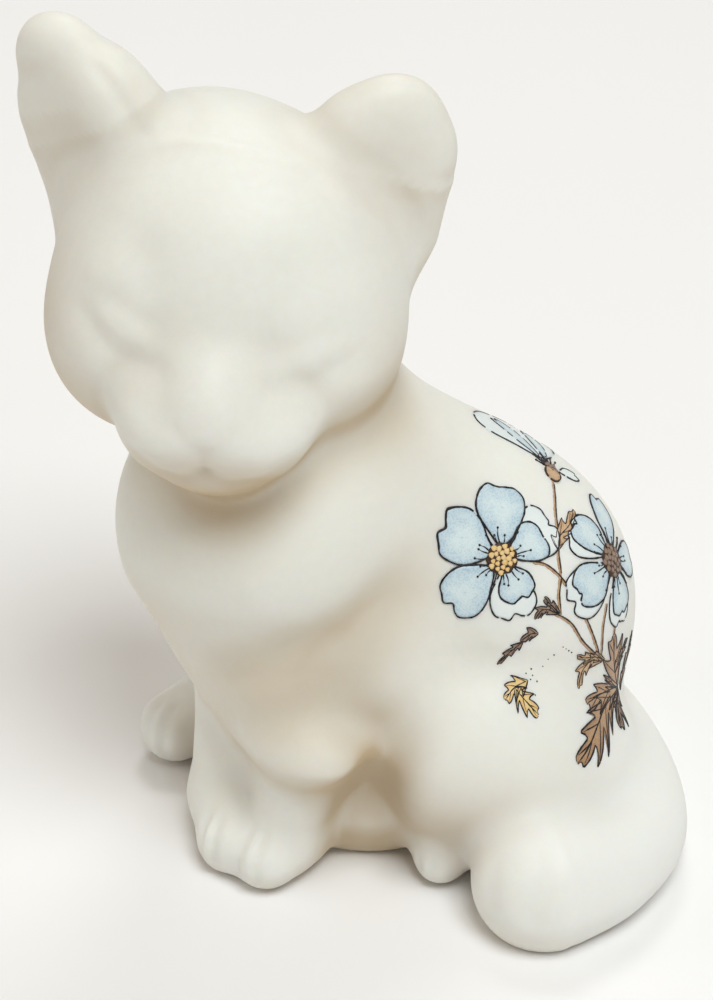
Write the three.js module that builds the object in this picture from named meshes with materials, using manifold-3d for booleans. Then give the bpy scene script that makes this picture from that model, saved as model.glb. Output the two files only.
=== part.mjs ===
// A sitting kitten figurine in slip-cast ceramic, with flower transfers fired on its left flank.
// Millimetres, +Z up. The kitten faces -Y, its left side is +X and it stands on z = 0.
import * as THREE from "three";
import Module from "manifold-3d";
import { mergeVertices } from "three/addons/utils/BufferGeometryUtils.js";

// ---- driving dimensions -------------------------------------------------------------------------
const HEIGHT = 95; // ground to the tip of the right ear
const WALL = 3.8; // thickness of the casting
const VENT_RADIUS = 1.5; // vent hole in the base
const VENT_AT = [2, 2];
const BODY_CELL = 2.25; // cell of the outer skin
const CAVITY_CELL = 4; // cell of the inner skin
const TRANSFER_GAP = 0.3; // glaze to transfer
const TRANSFER_SKIN = 0.3; // thickness of a transfer
const STEM_WIDTH = 0.8;

// ---- the kitten's masses: centre, radii, blend width ----------------------------------------------
const TORSO = [
  [[5, 11, 17], [22.5, 17, 18], 8],
  [[8, 8, 28], [21.2, 17, 16.2], 8],
  [[-5, -9, 37], [18, 16.5, 18], 8],
  [[-4, -5, 49], [13, 12, 11], 8],
  [[2, 2, 40], [14, 12, 8.5], 8],
  [[2, -6, 6], [17, 12.5, 9], 5],
  [[1, -9, 16], [13, 9, 12], 4],
];
const HAUNCHES = [
  [[18.5, 1, 13.5], [12.8, 17, 14], 2.5],
  [[24.5, 2.5, 9], [10.8, 13, 9], 3],
  [[25.5, -3.5, 12.5], [7.5, 9, 6.5], 4],
  [[-11, 2, 10], [9, 14, 9.5], 2.5],
  [[7.2, -19, 18], [7.5, 5.5, 4.2], 5],
  [[-1, -15.5, 24], [9, 7.5, 8], 6],
  [[11, -9, 25], [6, 7, 6], 6],
];
// Limbs: from, to, radius at each end, blend width.
const LIMBS = [
  [[6.5, -17.5, 15], [4.5, -20, 5], 5.2, 4.4, 3],
  [[-6.4, -13.5, 17], [-5, -18, 5], 5.2, 4.6, 3],
  [[0, -14.5, 17], [0, -16, 4], 4.5, 4, 4],
  [[4.5, -19, 4.5], [4.2, -23.2, 3.6], 4.6, 4.0, 2],
  [[-5, -18, 4.5], [-0.8, -23.2, 3.4], 4.6, 4.0, 2],
  [[-17, 0, 5], [-18.5, -11.5, 4.4], 4.5, 4.3, 3],
  [[20, -2, 5], [20, -11.5, 3.2], 4.5, 3.2, 3],
];
// The tail's centreline and its radius at each point.
const TAIL = [
  [4, 22, 5.6, 5.6],
  [18, 20, 5.2, 5.6],
  [29, 13, 5, 5.6],
  [36.2, 4.5, 4.8, 5.6],
  [36.6, -4, 5, 6.4],
  [33, -10.5, 5.4, 8],
];
const TAIL_STEPS = 15;
const TAIL_BLEND = 3;

// The head has its own axes: it faces its own -Y and is turned towards the kitten's left.
const HEAD_AT = [-9, -10, 65];
const HEAD_TURN = 30;
const HEAD_NOD = 4;
const HEAD_TILT = 2;
const NECK_BLEND = 3;
const SKULL = [
  [[0, 2, 2], [18.2, 18, 17.6], 6],
  [[-5, 6, 6.5], [12.5, 12.5, 12.5], 5],
  [[-8.8, -3, -3.5], [10.2, 11, 10.3], 6],
  [[8.2, -3, -4], [9.8, 11, 10], 5],
  [[0, -10, -8], [9, 10, 8], 3.5],
  [[0.2, -13, -4.6], [4.6, 7.2, 4.6], 6],
  [[-4, -14.8, -8.7], [4.9, 5, 4.4], 4],
  [[4.8, -14.8, -8.9], [4.9, 5, 4.4], 4],
  [[0.4, -13, -12.6], [4.6, 4.8, 3.6], 3],
];
// Ears: base, middle, tip, the way the mouth of the ear faces, radius at each.
const EARS = [
  ear([-12, 3, 9], [-15.4, 3, 17.5], [-18.5, 3, 22.8], [-0.6, -0.8, 0], [10, 9.2, 5.8]),
  ear([12.6, 4.5, 7.5], [14.4, 4.5, 15], [15.8, 4, 18.8], [0.35, -0.93, 0], [9, 8.4, 5.4]),
];
const EAR_FLATTEN = 1.55;
const EAR_BLEND = 3;

// ---- distances ------------------------------------------------------------------------------------
// Smooth union of two distances over the width k.
function blend(a, b, k) {
  const h = Math.max(k - Math.abs(a - b), 0) / k;
  return Math.min(a, b) - (h * h * k) / 4;
}

// Smooth cut of the volume b out of a.
function carve(a, b, k) {
  const h = Math.max(k - Math.abs(a + b), 0) / k;
  return Math.max(a, -b) + (h * h * k) / 4;
}

function ellipsoid(p, c, r) {
  const x = (p[0] - c[0]) / r[0];
  const y = (p[1] - c[1]) / r[1];
  const z = (p[2] - c[2]) / r[2];
  const near = Math.hypot(x, y, z);
  const slope = Math.hypot(x / r[0], y / r[1], z / r[2]);
  return slope < 1e-9 ? -Math.min(...r) : (near * (near - 1)) / slope;
}

// The hull of two balls.
function limb(p, a, b, ra, rb) {
  const [x, y, z] = [b[0] - a[0], b[1] - a[1], b[2] - a[2]];
  const [u, v, w] = [p[0] - a[0], p[1] - a[1], p[2] - a[2]];
  const t = THREE.MathUtils.clamp((u * x + v * y + w * z) / (x * x + y * y + z * z), 0, 1);
  return Math.hypot(u - t * x, v - t * y, w - t * z) - (ra + t * (rb - ra));
}

function headAxes() {
  const [turn, nod, tilt] = [HEAD_TURN, HEAD_NOD, HEAD_TILT].map(THREE.MathUtils.degToRad);
  return new THREE.Matrix4()
    .makeTranslation(...HEAD_AT)
    .multiply(new THREE.Matrix4().makeRotationZ(turn))
    .multiply(new THREE.Matrix4().makeRotationX(-nod))
    .multiply(new THREE.Matrix4().makeRotationY(tilt));
}

const toHead = headAxes().invert().elements;

function inHead([x, y, z]) {
  const m = toHead;
  return [
    m[0] * x + m[4] * y + m[8] * z + m[12],
    m[1] * x + m[5] * y + m[9] * z + m[13],
    m[2] * x + m[6] * y + m[10] * z + m[14],
  ];
}

function ear(base, middle, tip, facing, radii) {
  const root = new THREE.Vector3(...base);
  const up = new THREE.Vector3(...tip).sub(root);
  const length = up.length();
  up.normalize();
  const out = new THREE.Vector3(...facing);
  out.addScaledVector(up, -out.dot(up)).normalize();
  const across = new THREE.Vector3().crossVectors(up, out);
  const bend = new THREE.Vector3(...middle).sub(root);
  return { root, up, out, across, length, radii, bend: [bend.dot(across), bend.dot(out), bend.dot(up)] };
}

function earDistance(p, { root, up, out, across, length, radii, bend }) {
  const v = new THREE.Vector3(...p).sub(root);
  const [x, y, z] = [v.dot(across), v.dot(out), v.dot(up)];
  const flat = [x, y * EAR_FLATTEN, z];
  const lower = limb(flat, [0, 0, 0], bend, radii[0], radii[1]);
  const upper = limb(flat, bend, [0, 0, length], radii[1], radii[2]);
  const hollow = limb([x, y, z], [0, 13.4, 3], [0, 11.4, length - 2], 9, 6.4);
  return carve(blend(lower, upper, 1) / 1.25, hollow, 5);
}

function masses(p, list) {
  return list.reduce((d, [centre, radii, width]) => blend(d, ellipsoid(p, centre, radii), width), 1e9);
}

function headDistance(p) {
  const q = inHead(p);
  return EARS.reduce((d, each) => blend(d, earDistance(q, each), EAR_BLEND), masses(q, SKULL));
}

// The tail as a row of short limbs along a smooth line.
function tailLine() {
  const points = TAIL.map(([x, y, z]) => new THREE.Vector3(x, y, z));
  const curve = new THREE.CatmullRomCurve3(points, false, "catmullrom", 0.5);
  return Array.from({ length: TAIL_STEPS + 1 }, (_, i) => {
    const at = (i / TAIL_STEPS) * (TAIL.length - 1);
    const k = Math.min(Math.floor(at), TAIL.length - 2);
    const radius = THREE.MathUtils.lerp(TAIL[k][3], TAIL[k + 1][3], at - k);
    return [...curve.getPoint(i / TAIL_STEPS).toArray(), radius];
  });
}

const tail = tailLine();

function tailDistance(p) {
  return Math.min(...tail.slice(1).map((to, i) => limb(p, tail[i], to, tail[i][3], to[3])));
}

// The outside of the whole kitten.
function kitten(p) {
  const body = masses(p, [...TORSO, ...HAUNCHES]);
  const legs = LIMBS.reduce((d, [a, b, ra, rb, width]) => blend(d, limb(p, a, b, ra, rb), width), body);
  return blend(blend(legs, tailDistance(p), TAIL_BLEND), headDistance(p), NECK_BLEND);
}

// The space inside the casting: the trunk and the skull, less the wall, above a floor.
function hollow(p) {
  const core = blend(masses(p, TORSO), masses(inHead(p), SKULL.slice(0, 4)), 8);
  return Math.max(core + WALL, WALL - p[2]);
}

// ---- polygoniser: surface nets -----------------------------------------------------------------
const CORNERS = [0, 1, 2, 3, 4, 5, 6, 7].map((c) => [c & 1, (c >> 1) & 1, c >> 2]);

const AXES = [0, 1, 2];

// The edge along an axis from a corner, as one number: both of its ends give the same one.
const edgeAt = (corner, axis) => (corner & ~(1 << axis)) * 3 + axis;

// Joins the cell's crossed edges into loops. On a face with four of them, the two round each inside
// corner are joined, so that the neighbouring cell agrees.
function loops(value) {
  const inside = value.map((v) => v < 0);
  const loop = new Array(24).fill(-1);
  CORNERS.forEach((_, c) => AXES.forEach((x) => {
    if (inside[c] !== inside[c ^ (1 << x)]) loop[edgeAt(c, x)] = edgeAt(c, x);
  }));
  const join = (edges) => {
    const least = Math.min(...edges.map((e) => loop[e]));
    const old = edges.map((e) => loop[e]);
    loop.forEach((l, e) => {
      if (old.includes(l)) loop[e] = least;
    });
  };
  for (const face of AXES)
    for (const side of [0, 1]) {
      const [u, w] = AXES.filter((x) => x !== face);
      const corners = [0, 1 << u, (1 << u) | (1 << w), 1 << w].map((c) => c | (side << face));
      const edges = [...new Set(corners.flatMap((c) => [edgeAt(c, u), edgeAt(c, w)]))];
      const crossed = edges.filter((e) => loop[e] >= 0);
      if (crossed.length === 2) join(crossed);
      if (crossed.length === 4) {
        corners.filter((c) => inside[c]).forEach((c) => join([edgeAt(c, u), edgeAt(c, w)]));
      }
    }
  return loop;
}

// Mean of the points where the skin crosses a loop's edges, as fractions of the cell.
function middle(value, loop, name) {
  const sum = [0, 0, 0];
  let count = 0;
  loop.forEach((l, e) => {
    if (l !== name) return;
    const [a, axis] = [Math.floor(e / 3), e % 3];
    const t = value[a] / (value[a] - value[a | (1 << axis)]);
    AXES.forEach((x) => (sum[x] += CORNERS[a][x] + (x === axis ? t : 0)));
    count++;
  });
  return sum.map((v) => v / count);
}

function sample(field, lo, n, cell) {
  const value = new Float32Array(n[0] * n[1] * n[2]);
  let at = 0;
  for (let k = 0; k < n[2]; k++)
    for (let j = 0; j < n[1]; j++)
      for (let i = 0; i < n[0]; i++) {
        value[at++] = field([lo[0] + i * cell, lo[1] + j * cell, lo[2] + k * cell]);
      }
  return value;
}

// A closed skin where the field is zero, one quad to each grid edge that crosses it.
function skin(field, lo, hi, cell) {
  const n = lo.map((v, i) => Math.ceil((hi[i] - v) / cell) + 1);
  const stride = [1, n[0], n[0] * n[1]];
  const value = sample(field, lo, n, cell);
  const vertex = new Map();
  const points = [];
  for (let k = 0; k + 1 < n[2]; k++)
    for (let j = 0; j + 1 < n[1]; j++)
      for (let i = 0; i + 1 < n[0]; i++) {
        const here = i + j * stride[1] + k * stride[2];
        const near = CORNERS.map(([a, b, c]) => value[here + a + b * stride[1] + c * stride[2]]);
        const inside = near.filter((v) => v < 0).length;
        if (inside === 0 || inside === 8) continue;
        const loop = loops(near);
        for (const name of new Set(loop.filter((l) => l >= 0))) {
          const at = middle(near, loop, name);
          loop.forEach((l, e) => {
            if (l === name) vertex.set(here * 24 + e, points.length / 3);
          });
          points.push(...[i, j, k].map((v, x) => lo[x] + (v + at[x]) * cell));
        }
      }
  const index = [];
  for (let k = 1; k + 1 < n[2]; k++)
    for (let j = 1; j + 1 < n[1]; j++)
      for (let i = 1; i + 1 < n[0]; i++)
        for (const axis of AXES) {
          const here = i + j * stride[1] + k * stride[2];
          const inward = value[here] < 0;
          if (inward === value[here + stride[axis]] < 0) continue;
          const [one, two] = [(axis + 1) % 3, (axis + 2) % 3];
          const quad = [[0, 0], [1, 0], [1, 1], [0, 1]].map(([u, w]) => {
            const from = here - u * stride[one] - w * stride[two];
            return vertex.get(from * 24 + edgeAt((u << one) | (w << two), axis));
          });
          const [a, b, c, d] = inward ? quad : quad.reverse();
          index.push(a, b, c, a, c, d);
        }
  const geometry = new THREE.BufferGeometry();
  geometry.setAttribute("position", new THREE.Float32BufferAttribute(points, 3));
  return geometry.setIndex(index);
}

// ---- solids ---------------------------------------------------------------------------------------
const wasm = await Module();
wasm.setup();

function solid(geometry) {
  const bare = geometry.clone();
  bare.deleteAttribute("normal");
  bare.deleteAttribute("uv");
  const merged = mergeVertices(bare, 1e-5);
  return new wasm.Manifold(
    new wasm.Mesh({
      numProp: 3,
      vertProperties: merged.attributes.position.array,
      triVerts: new Uint32Array(merged.index.array),
    }),
  );
}

function geometryOf(body) {
  const mesh = body.getMesh();
  const geometry = new THREE.BufferGeometry();
  geometry.setAttribute("position", new THREE.Float32BufferAttribute(mesh.vertProperties, 3));
  geometry.setIndex([...mesh.triVerts]);
  const facets = geometry.toNonIndexed();
  facets.computeVertexNormals();
  return facets;
}

function casting() {
  const outside = solid(skin(kitten, [-36, -34, -12], [48, 34, 101], BODY_CELL));
  const below = solid(new THREE.BoxGeometry(200, 200, 40).translate(0, 0, -20));
  const inside = solid(skin(hollow, [-34, -34, -2], [40, 34, 92], CAVITY_CELL));
  const vent = new THREE.CylinderGeometry(VENT_RADIUS, VENT_RADIUS, 12, 24).rotateX(Math.PI / 2);
  return outside.subtract(below).subtract(inside).subtract(solid(vent.translate(...VENT_AT, 2)));
}

// ---- transfers ------------------------------------------------------------------------------------
// Each outline is flat, in millimetres, on a plane that faces out from a point inside the flank.
const FLANK_FROM = new THREE.Vector3(8, 6, 24);
const FLANK_RADIUS = 22;
const FLANK_BOX = [[9, -14, 3], [34, 27, 52]];
const FLANK_CELL = 2.1;

function bearing([round, rise]) {
  const [a, b] = [round, rise].map(THREE.MathUtils.degToRad);
  return new THREE.Vector3(Math.cos(a) * Math.cos(b), Math.sin(a) * Math.cos(b), Math.sin(b));
}

function plane(at) {
  const out = bearing(at);
  const across = new THREE.Vector3(0, 0, 1).cross(out).normalize();
  return { out, across, up: new THREE.Vector3().crossVectors(out, across) };
}

// A bearing as a point on the plane.
function onPlane({ out, across, up }, at) {
  const ray = bearing(at);
  const reach = FLANK_RADIUS / ray.dot(out);
  return new THREE.Vector2(ray.dot(across) * reach, ray.dot(up) * reach);
}

// The outline swept along the rays from the flank's centre.
function wedge({ out, across, up }, outline) {
  const n = outline.length;
  const lift = (scale) => ({ x, y }) =>
    FLANK_FROM.clone()
      .addScaledVector(out, scale * FLANK_RADIUS)
      .addScaledVector(across, scale * x)
      .addScaledVector(up, scale * y);
  const points = [...outline.map(lift(0.5)), ...outline.map(lift(1.3))];
  const caps = THREE.ShapeUtils.triangulateShape(outline, []);
  const index = caps.flatMap(([a, b, c]) => [a, c, b, a + n, b + n, c + n]);
  for (let i = 0; i < n; i++) {
    const j = (i + 1) % n;
    index.push(i, j, j + n, i, j + n, i + n);
  }
  const geometry = new THREE.BufferGeometry().setFromPoints(points);
  return solid(geometry.setIndex(index));
}

function counterClockwise(outline) {
  return THREE.ShapeUtils.isClockWise(outline) ? outline.reverse() : outline;
}

// Five petals round a centre; grow widens the outline for a neighbour's clearance.
function rosette(radius, spin) {
  return (frame, grow) =>
    Array.from({ length: 60 }, (_, i) => {
      const turn = (i / 60) * 2 * Math.PI;
      const lobe = Math.abs(Math.cos(2.5 * turn)) ** 0.6;
      const r = radius * (0.5 + 0.5 * lobe) + grow;
      return new THREE.Vector2(r * Math.cos(turn + spin), r * Math.sin(turn + spin));
    });
}

function disc(radius) {
  return (frame, grow) => {
    const circle = new THREE.Path().absarc(0, 0, radius + grow, 0, 2 * Math.PI);
    return circle.getPoints(20).slice(0, -1);
  };
}

// A pointed leaf between two bearings.
function leaf(from, to, width) {
  return (frame, grow) => {
    const [a, b] = [onPlane(frame, from), onPlane(frame, to)];
    const along = b.clone().sub(a).normalize();
    const side = new THREE.Vector2(-along.y, along.x);
    const [start, end] = [a.clone().addScaledVector(along, -grow), b.clone().addScaledVector(along, grow)];
    const edge = (sign) => (_, i) => {
      const t = (i + 0.5) / 14;
      const half = (width / 2 + grow) * Math.sin(Math.PI * t) ** 0.7;
      return start.clone().lerp(end, t).addScaledVector(side, sign * half);
    };
    const right = Array.from({ length: 14 }, edge(-1));
    const left = Array.from({ length: 14 }, edge(1)).reverse();
    return [start, ...right, end, ...left];
  };
}

// A ribbon through a row of bearings.
function stem(...through) {
  return (frame, grow) => {
    const curve = new THREE.SplineCurve(through.map((at) => onPlane(frame, at)));
    const count = through.length * 6;
    const edge = (sign) => (_, i) => {
      const along = curve.getTangent(i / count);
      const half = STEM_WIDTH / 2 + grow;
      return curve.getPoint(i / count).add(new THREE.Vector2(-along.y, along.x).multiplyScalar(sign * half));
    };
    const right = Array.from({ length: count + 1 }, edge(-1));
    const left = Array.from({ length: count + 1 }, edge(1)).reverse();
    return [...right, ...left];
  };
}

// Colours of the fired enamels.
const BLUE = { color: 0x9db4d3, roughness: 0.4 };
const GOLD = { color: 0xa8822f, roughness: 0.4 };
const PALE = { color: 0xdfe4ea, roughness: 0.4 };
const TAN = { color: 0x8f7049, roughness: 0.4 };
const BROWN = { color: 0x5d3f26, roughness: 0.4 };

// name, enamel, bearing of the plane, outlines
const TRANSFERS = [
  ["decal_left_centre", GOLD, [-31, 44], [disc(1.5)]],
  ["decal_left_petals", BLUE, [-31, 44], [rosette(5.8, 1.6)]],
  ["decal_right_centre", GOLD, [12, 28], [disc(1.5)]],
  ["decal_right_petals", BLUE, [12, 28], [rosette(5.8, 0.9)]],
  ["decal_top_flower", BLUE, [25, 70], [leaf([68, 77], [17, 63], 4.6)]],
  ["decal_top_calyx", PALE, [11, 59], [leaf([14, 62], [5, 55], 2.2)]],
  [
    "decal_main_stem",
    TAN,
    [-10, 30],
    [stem([3, 53], [-3, 48], [-10, 41], [-13, 33], [-15, 23], [-11, 12], [-6, 6])],
  ],
  ["decal_branch_stem", TAN, [-20, 28], [stem([-26, 27], [-21, 26], [-15, 23.5])]],
  [
    "decal_lower_stems",
    TAN,
    [0, 10],
    [stem([-8, 18], [-4, 9], [1, 1]), stem([0, 16], [1, 8], [1, 1]), stem([8, 15], [5, 8], [1, 1])],
  ],
  ["decal_upper_leaf", BROWN, [1, 46], [leaf([-4, 43], [5, 50], 1.2)]],
  ["decal_small_leaf", BROWN, [-22, 22], [leaf([-26, 19], [-18, 23], 1.6)]],
  ["decal_gold_leaf", GOLD, [-7, -3], [leaf([-3, 0], [-12, -5], 2.6)]],
  ["decal_brown_leaf", BROWN, [6, -5], [leaf([3, -1], [10, -9], 3)]],
  ["decal_large_leaf", BROWN, [-3, -16], [leaf([1, -8], [-8, -22], 4.4)]],
  ["decal_edge_leaf", BROWN, [14, -10], [leaf([12, -3], [16, -16], 1.6)]],
  ["decal_stray_brown", BROWN, [-31, 14], [leaf([-38, 9], [-25, 18], 1.6)]],
  ["decal_stray_gold", GOLD, [-31, -1], [leaf([-35, 3], [-27, -6], 3)]],
];

// The film in which every transfer lies, a little off the glaze.
function film() {
  const [lo, hi] = FLANK_BOX;
  const box = new THREE.Box3(new THREE.Vector3(...lo), new THREE.Vector3(...hi));
  const within = (offset) => (p) => {
    const sides = p.flatMap((v, i) => [lo[i] - v, v - hi[i]]);
    return Math.max(kitten(p) - offset, ...sides);
  };
  const from = box.min.toArray().map((v) => v - 4);
  const to = box.max.toArray().map((v) => v + 6);
  const outer = solid(skin(within(TRANSFER_GAP + TRANSFER_SKIN), from, to, FLANK_CELL));
  const glaze = (p) => kitten(p) - TRANSFER_GAP;
  return outer.subtract(solid(skin(glaze, [-36, -34, -12], [48, 34, 101], FLANK_CELL)));
}

function wedges(at, outlines, grow) {
  const frame = plane(at);
  const each = outlines.map((outline) => wedge(frame, counterClockwise(outline(frame, grow))));
  return each.reduce((a, b) => a.add(b));
}

// Every transfer, each cut clear of those before it.
function transfers() {
  const sheet = film();
  let taken = null;
  return TRANSFERS.map(([name, enamel, at, outlines]) => {
    const whole = sheet.intersect(wedges(at, outlines, 0));
    const clear = taken ? whole.subtract(taken) : whole;
    const claim = wedges(at, outlines, TRANSFER_GAP);
    taken = taken ? taken.add(claim) : claim;
    return node(name, geometryOf(clear), enamel);
  });
}

// ---- assembly -------------------------------------------------------------------------------------
function node(name, geometry, { color, roughness }) {
  const material = new THREE.MeshStandardMaterial({ color, roughness, metalness: 0 });
  const mesh = new THREE.Mesh(geometry, material);
  mesh.name = name;
  return mesh;
}

const CERAMIC = { color: 0xebe7d8, roughness: 0.5 };

function figurine() {
  const group = new THREE.Group();
  group.add(node("cat_casting", geometryOf(casting()), CERAMIC), ...transfers());
  const box = new THREE.Box3().setFromObject(group);
  const scale = HEIGHT / box.max.z;
  const centre = box.getCenter(new THREE.Vector3()).multiplyScalar(scale);
  group.scale.setScalar(scale);
  group.position.set(-centre.x, -centre.y, 0);
  return group;
}

export default figurine();
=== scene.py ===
"""A small ivory ceramic kitten with flower transfers fired on its left flank, built round its CAD frame."""

import math

import bpy
import numpy as np
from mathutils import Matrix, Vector
from mathutils.bvhtree import BVHTree


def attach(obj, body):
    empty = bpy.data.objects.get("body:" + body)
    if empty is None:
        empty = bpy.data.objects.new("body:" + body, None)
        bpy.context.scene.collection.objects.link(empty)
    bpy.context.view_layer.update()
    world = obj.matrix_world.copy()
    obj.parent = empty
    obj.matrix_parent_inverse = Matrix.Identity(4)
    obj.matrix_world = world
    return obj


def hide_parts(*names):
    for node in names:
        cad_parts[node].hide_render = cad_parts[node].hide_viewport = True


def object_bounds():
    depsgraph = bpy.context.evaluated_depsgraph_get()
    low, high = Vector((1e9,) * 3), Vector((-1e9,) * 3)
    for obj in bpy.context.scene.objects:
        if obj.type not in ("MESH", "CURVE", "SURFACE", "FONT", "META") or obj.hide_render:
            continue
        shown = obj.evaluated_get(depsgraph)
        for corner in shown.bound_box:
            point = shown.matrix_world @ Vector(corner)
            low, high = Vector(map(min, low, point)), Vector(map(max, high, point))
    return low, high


# ---- geometry ---------------------------------------------------------------------------------
# The kitten is modelled in its own millimetres: mid-plane x = 0, facing -y, ground z = 0.
CELL = 0.5


def V(*a):
    return np.array(a, float)


def blend(a, b, k):
    """Smooth union of two distances over the width k."""
    h = np.maximum(k - np.abs(a - b), 0) / k
    return np.minimum(a, b) - h * h * k / 4


def carve(a, b, k):
    """Smooth cut of the volume b out of a."""
    h = np.maximum(k - np.abs(a + b), 0) / k
    return np.maximum(a, -b) + h * h * k / 4


def ellipsoid(p, c, r):
    q = (p - V(*c)) / V(*r)
    k0 = np.sqrt((q * q).sum(1))
    s = q / V(*r)
    k1 = np.sqrt((s * s).sum(1)) + 1e-9
    return k0 * (k0 - 1) / k1


def limb(p, a, b, ra, rb):
    a, b = V(*a), V(*b)
    ab = b - a
    ap = p - a
    t = np.clip(ap @ ab / (ab @ ab), 0, 1)
    d = ap - t[:, None] * ab
    return np.sqrt((d * d).sum(1)) - (ra + t * (rb - ra))


def turn(yaw, pitch, roll):
    """Axes, as columns, of a part turned by yaw about z, nodded up by pitch, then tilted by roll."""
    y, p, r = (math.radians(v) for v in (yaw, pitch, roll))
    rz = np.array([[math.cos(y), -math.sin(y), 0], [math.sin(y), math.cos(y), 0], [0, 0, 1]])
    rx = np.array([[1, 0, 0], [0, math.cos(p), math.sin(p)], [0, -math.sin(p), math.cos(p)]])
    ry = np.array([[math.cos(r), 0, math.sin(r)], [0, 1, 0], [-math.sin(r), 0, math.cos(r)]])
    return rz @ rx @ ry


# Masses: centre, radii, blend width.
TORSO = [
    ((5, 11, 17), (22.5, 17, 18), 8),
    ((8, 8, 28), (21.2, 17, 16.2), 8),
    ((-5, -9, 37), (18, 16.5, 18), 8),
    ((-4, -5, 49), (13, 12, 11), 8),
    ((2, 2, 40), (14, 12, 8.5), 8),
    ((2, -6, 6), (17, 12.5, 9), 5),
    ((1, -9, 16), (13, 9, 12), 4),
]
HAUNCHES = [
    ((18.5, 1, 13.5), (12.8, 17, 14), 2.5),
    ((24.5, 2.5, 9), (10.8, 13, 9), 3),
    ((25.5, -3.5, 12.5), (7.5, 9, 6.5), 4),
    ((-11, 2, 10), (9, 14, 9.5), 2.5),
    ((7.2, -19, 18), (7.5, 5.5, 4.2), 5),
    ((-1, -15.5, 24), (9, 7.5, 8), 6),
    ((11, -9, 25), (6, 7, 6), 6),
]
LIMBS = [
    ((6.5, -17.5, 15), (4.5, -20, 5), 5.2, 4.4, 3),
    ((-6.4, -13.5, 17), (-5, -18, 5), 5.2, 4.6, 3),
    ((0, -14.5, 17), (0, -16, 4), 4.5, 4, 4),
    ((4.5, -19, 4.5), (4.2, -23.2, 3.6), 4.6, 4.0, 2),
    ((-5, -18, 4.5), (-0.8, -23.2, 3.4), 4.6, 4.0, 2),
    ((-17, 0, 5), (-18.5, -11.5, 4.4), 4.5, 4.3, 3),
    ((20, -2, 5), (20, -11.5, 3.2), 4.5, 3.2, 3),
]
TAIL = [
    (4, 22, 5.6, 5.6),
    (18, 20, 5.2, 5.6),
    (29, 13, 5, 5.6),
    (36.2, 4.5, 4.8, 5.6),
    (36.6, -4, 5, 6.4),
    (33, -10.5, 5.4, 8),
]
HEAD_AT = V(-9, -10, 65)
HEAD = turn(30, 4, 2)
SKULL = [
    ((0, 2, 2), (18.2, 18, 17.6), 6),
    ((-5, 6, 6.5), (12.5, 12.5, 12.5), 5),
    ((-8.8, -3, -3.5), (10.2, 11, 10.3), 6),
    ((8.2, -3, -4), (9.8, 11, 10), 5),
    ((0, -10, -8), (9, 10, 8), 3.5),
    ((0.2, -13, -4.6), (4.6, 7.2, 4.6), 6),
    ((-4, -14.8, -8.7), (4.9, 5, 4.4), 4),
    ((4.8, -14.8, -8.9), (4.9, 5, 4.4), 4),
    ((0.4, -13, -12.6), (4.6, 4.8, 3.6), 3),
]
# Ears: base, middle, tip, the way the mouth faces, radius at each.
EARS = [
    ((-12, 3, 9), (-15.4, 3, 17.5), (-18.5, 3, 22.8), (-0.6, -0.8, 0), (10, 9.2, 5.8)),
    ((12.6, 4.5, 7.5), (14.4, 4.5, 15), (15.8, 4, 18.8), (0.35, -0.93, 0), (9, 8.4, 5.4)),
]
EAR_FLATTEN = 1.55
EAR_BLEND = 3
NECK_BLEND = 3
TAIL_BLEND = 3
# The tail is only worked out below this height.
TAIL_TOP = 24
# The vent in the base: middle, radius, depth.
VENT = (2, 2), 1.5, 7


def between(a, b, c, d, t):
    """The point a share t of the way from b to c, on the smooth line that also passes a and d."""
    return 0.5 * (2 * b + (c - a) * t + (2 * a - 5 * b + 4 * c - d) * t * t + (3 * b - a - 3 * c + d) * t**3)


def spline(rows, count):
    """Points along a smooth line through the rows."""
    rows = np.array(rows, float)
    ends = np.vstack([2 * rows[0] - rows[1], rows, 2 * rows[-1] - rows[-2]])
    out = []
    for i in range(len(rows) - 1):
        out += [between(*ends[i : i + 4], t) for t in np.arange(count) / count]
    return np.array(out + [rows[-1]])


def ear(p, base, middle, tip, facing, radii):
    base, middle, tip, out = V(*base), V(*middle), V(*tip), V(*facing)
    up = tip - base
    length = np.linalg.norm(up)
    up /= length
    out -= up * (out @ up)
    out /= np.linalg.norm(out)
    axes = np.stack([np.cross(up, out), out, up], 1)
    q = (p - base) @ axes
    m = (middle - base) @ axes
    flat = q * V(1, EAR_FLATTEN, 1)
    low, mid, top = radii
    lower = limb(flat, (0, 0, 0), m, low, mid)
    upper = limb(flat, m, (0, 0, length), mid, top)
    hollow = limb(q, (0, 13.4, 3), (0, 11.4, length - 2), 9, 6.4)
    return carve(blend(lower, upper, 1) / 1.25, hollow, 5)


def head(p):
    q = (p - HEAD_AT) @ HEAD
    d = np.full(len(q), 1e3)
    for c, r, k in SKULL:
        d = blend(d, ellipsoid(q, c, r), k)
    for e in EARS:
        d = blend(d, ear(q, *e), EAR_BLEND)
    return d


def kitten(p):
    d = np.full(len(p), 1e3)
    for c, r, k in TORSO + HAUNCHES:
        d = blend(d, ellipsoid(p, c, r), k)
    for a, b, ra, rb, k in LIMBS:
        d = blend(d, limb(p, a, b, ra, rb), k)
    low = p[:, 2] < TAIL_TOP
    tail = np.full(low.sum(), 1e3)
    line = spline(TAIL, 9)
    for a, b in zip(line, line[1:]):
        tail = np.minimum(tail, limb(p[low], a[:3], b[:3], a[3], b[3]))
    d[low] = blend(d[low], tail, TAIL_BLEND)
    d = blend(d, head(p), NECK_BLEND)
    (x, y), radius, deep = VENT
    vent = np.maximum(np.hypot(p[:, 0] - x, p[:, 1] - y) - radius, p[:, 2] - deep)
    return np.maximum(np.maximum(d, -p[:, 2]), -vent)


CORNERS = np.array([[c & 1, (c >> 1) & 1, c >> 2] for c in range(8)])


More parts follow.
